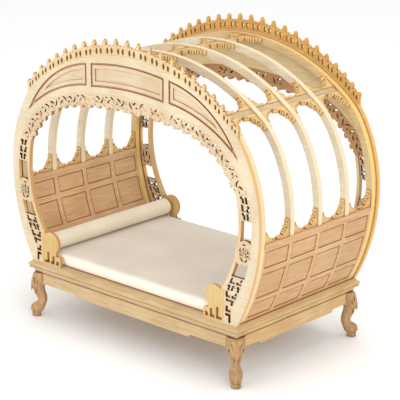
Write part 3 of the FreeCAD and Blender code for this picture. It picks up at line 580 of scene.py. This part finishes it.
def cotton(name, light, shade, painted_lit_sides=None):
    """Plain woven cotton; the optional last tone is painted light, paler on the upright sides."""
    cloth = bpy.data.materials.new(name)
    cloth.use_nodes = True
    nodes, link = cloth.node_tree.nodes, cloth.node_tree.links.new
    shader = nodes["Principled BSDF"]
    shader.inputs["Roughness"].default_value = 0.92
    shader.inputs["Sheen Weight"].default_value = 0.25
    place = nodes.new("ShaderNodeTexCoord")
    woven = nodes.new("ShaderNodeMath")
    woven.operation = "MULTIPLY"
    for way, axis in enumerate(("X", "Y")):
        threads = nodes.new("ShaderNodeTexWave")
        threads.bands_direction = axis
        threads.inputs["Scale"].default_value = threads_per_metre
        threads.inputs["Distortion"].default_value = 0.6
        link(place.outputs["Object"], threads.inputs["Vector"])
        link(threads.outputs["Fac"], woven.inputs[way])
    patches = nodes.new("ShaderNodeTexNoise")
    patches.inputs["Scale"].default_value = 30
    patches.inputs["Detail"].default_value = 3
    link(place.outputs["Object"], patches.inputs["Vector"])
    patch_ramp = two_tone(nodes, 0.3, shade, 0.7, light)
    link(patches.outputs["Fac"], patch_ramp.inputs["Fac"])
    colour = patch_ramp.outputs["Color"]
    # Painted light: the upright sides take the paler tone, as if lit more than the top.
    if painted_lit_sides is not None:
        facing = nodes.new("ShaderNodeSeparateXYZ")
        link(place.outputs["Normal"], facing.inputs["Vector"])
        lit_side_ramp = two_tone(nodes, 0.2, full, 0.9, none)
        link(facing.outputs["Z"], lit_side_ramp.inputs["Fac"])
        colour = laid_over(nodes, link, lit_side_ramp.outputs["Color"], colour, painted_lit_sides)
    link(colour, shader.inputs["Base Color"])
    bumped(nodes, link, shader, woven.outputs[0], strength=0.4, distance=0.15 * mm)
    return cloth


def stuffed(name, source, shrink, voxel, furthest, finish, body, flat_base):
    """Inflates a slightly smaller copy of a soft solid as cloth.

    The cloth is worked at ten times its size. No point moves more than furthest, and with
    flat_base none goes below the solid's underside."""
    data = node[source].data.copy()
    low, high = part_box(source)
    middle = (low + high) / 2
    for v in data.vertices:
        v.co = Vector(((v.co[i] - middle[i]) * (1 - shrink[i]) * cloth_scale for i in range(3)))
    made = bpy.data.objects.new(name, data)
    scene.collection.objects.link(made)
    bpy.context.view_layer.objects.active = made
    remesh = made.modifiers.new("remesh", "REMESH")
    remesh.mode = "VOXEL"
    remesh.voxel_size = voxel * cloth_scale
    bpy.ops.object.modifier_apply(modifier=remesh.name)
    start = [v.co.copy() for v in made.data.vertices]
    puff = made.modifiers.new("puff", "CLOTH")
    puff.settings.effector_weights.gravity = 0
    puff.settings.use_pressure = True
    puff.settings.uniform_pressure_force = 4
    puff.settings.quality = 5
    for step in range(1, puff_steps + 1):
        scene.frame_set(step)
    bpy.ops.object.modifier_apply(modifier=puff.name)
    scene.frame_set(1)
    for v, was in zip(made.data.vertices, start):
        move = v.co - was
        if move.length > furthest * cloth_scale:
            move *= furthest * cloth_scale / move.length
        v.co = (was + move) / cloth_scale + middle
        if flat_base:
            v.co.z = max(v.co.z, low.z)
    made.data.materials.clear()
    made.data.materials.append(finish)
    for face in made.data.polygons:
        face.use_smooth = True
    rounded(made, "soften")
    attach(made, body)
    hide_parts(source)


# The last tone paints light on the upright sides of the mattress.
mattress_cotton = cotton("mattress_cotton", tone(216, 206, 190), tone(206, 194, 177),
                         painted_lit_sides=tone(240, 230, 212))
stuffed("mattress_pad", "mattress", shrink=(0.003, 0.004, 0.02), voxel=2.0 * mm,
        furthest=0.3 * mm, finish=mattress_cotton, body="mattress",
        flat_base=True)

# ---------------------------------------------------------------------------
# Bolster: a firm stuffed roll in the same cotton, loose on the head of the mattress.
# ---------------------------------------------------------------------------
bolster_cotton = cotton("bolster_cotton", tone(230, 218, 196), tone(220, 206, 182))
stuffed("bolster_roll", "bolster", shrink=(0.05, 0.008, 0.05), voxel=1.3 * mm,
        furthest=0.6 * mm, finish=bolster_cotton, body="bolster",
        flat_base=False)
